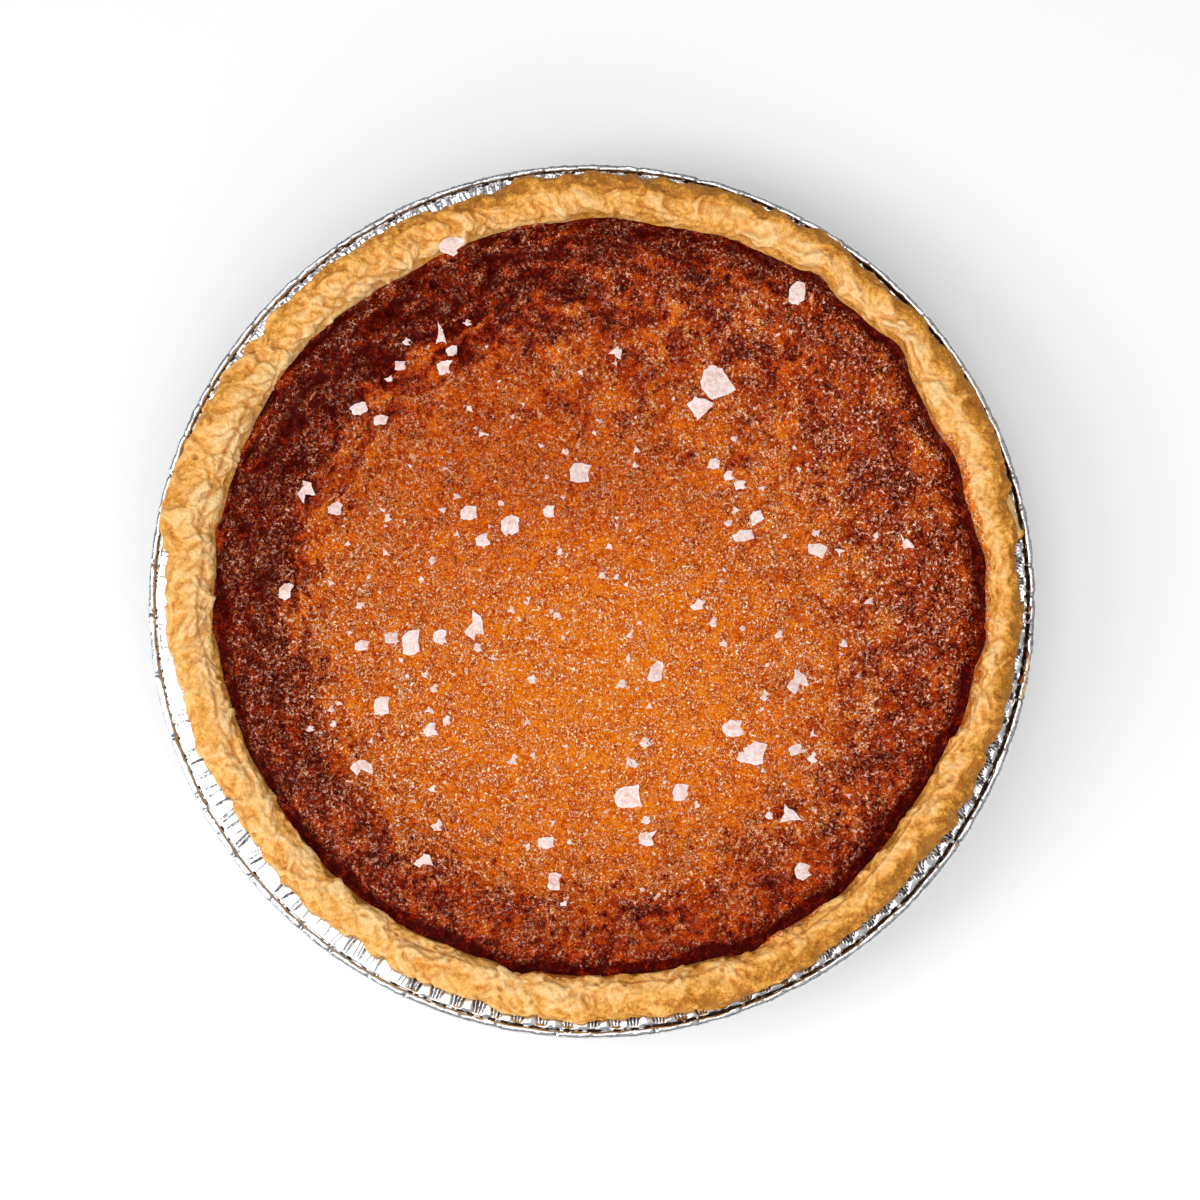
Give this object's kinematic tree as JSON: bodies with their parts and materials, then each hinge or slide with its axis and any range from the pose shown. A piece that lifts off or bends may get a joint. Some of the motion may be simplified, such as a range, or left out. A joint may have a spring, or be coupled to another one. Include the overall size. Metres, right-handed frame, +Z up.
{
  "type": "salty honey pie in a foil tin",
  "caption": "Round baked honey custard pie with a thick hand-shaped pastry edge, in its own pressed foil tin with a crinkled flange and rolled edge.",
  "frame": {"origin": "middle of the tin's underside, on the surface that the pie rests on", "axes": "+Z up, out of the filling; +X to the right and +Y away from the viewer in the picture, which looks down from the near side"},
  "size_m": [0.245, 0.245, 0.0406],
  "materials": {
    "foil": "thin bright pressed foil, crinkled",
    "pastry": "baked shortcrust, golden, dry and bumpy",
    "filling": "baked honey custard, browned, fine bubbles under a sticky gloss",
    "salt": "flaky sea salt, translucent"
  },
  "bodies": {
    "root": {"foil_tin": "foil", "pastry_case": "pastry", "honey_filling": "filling"}
  },
  "joints": []
}
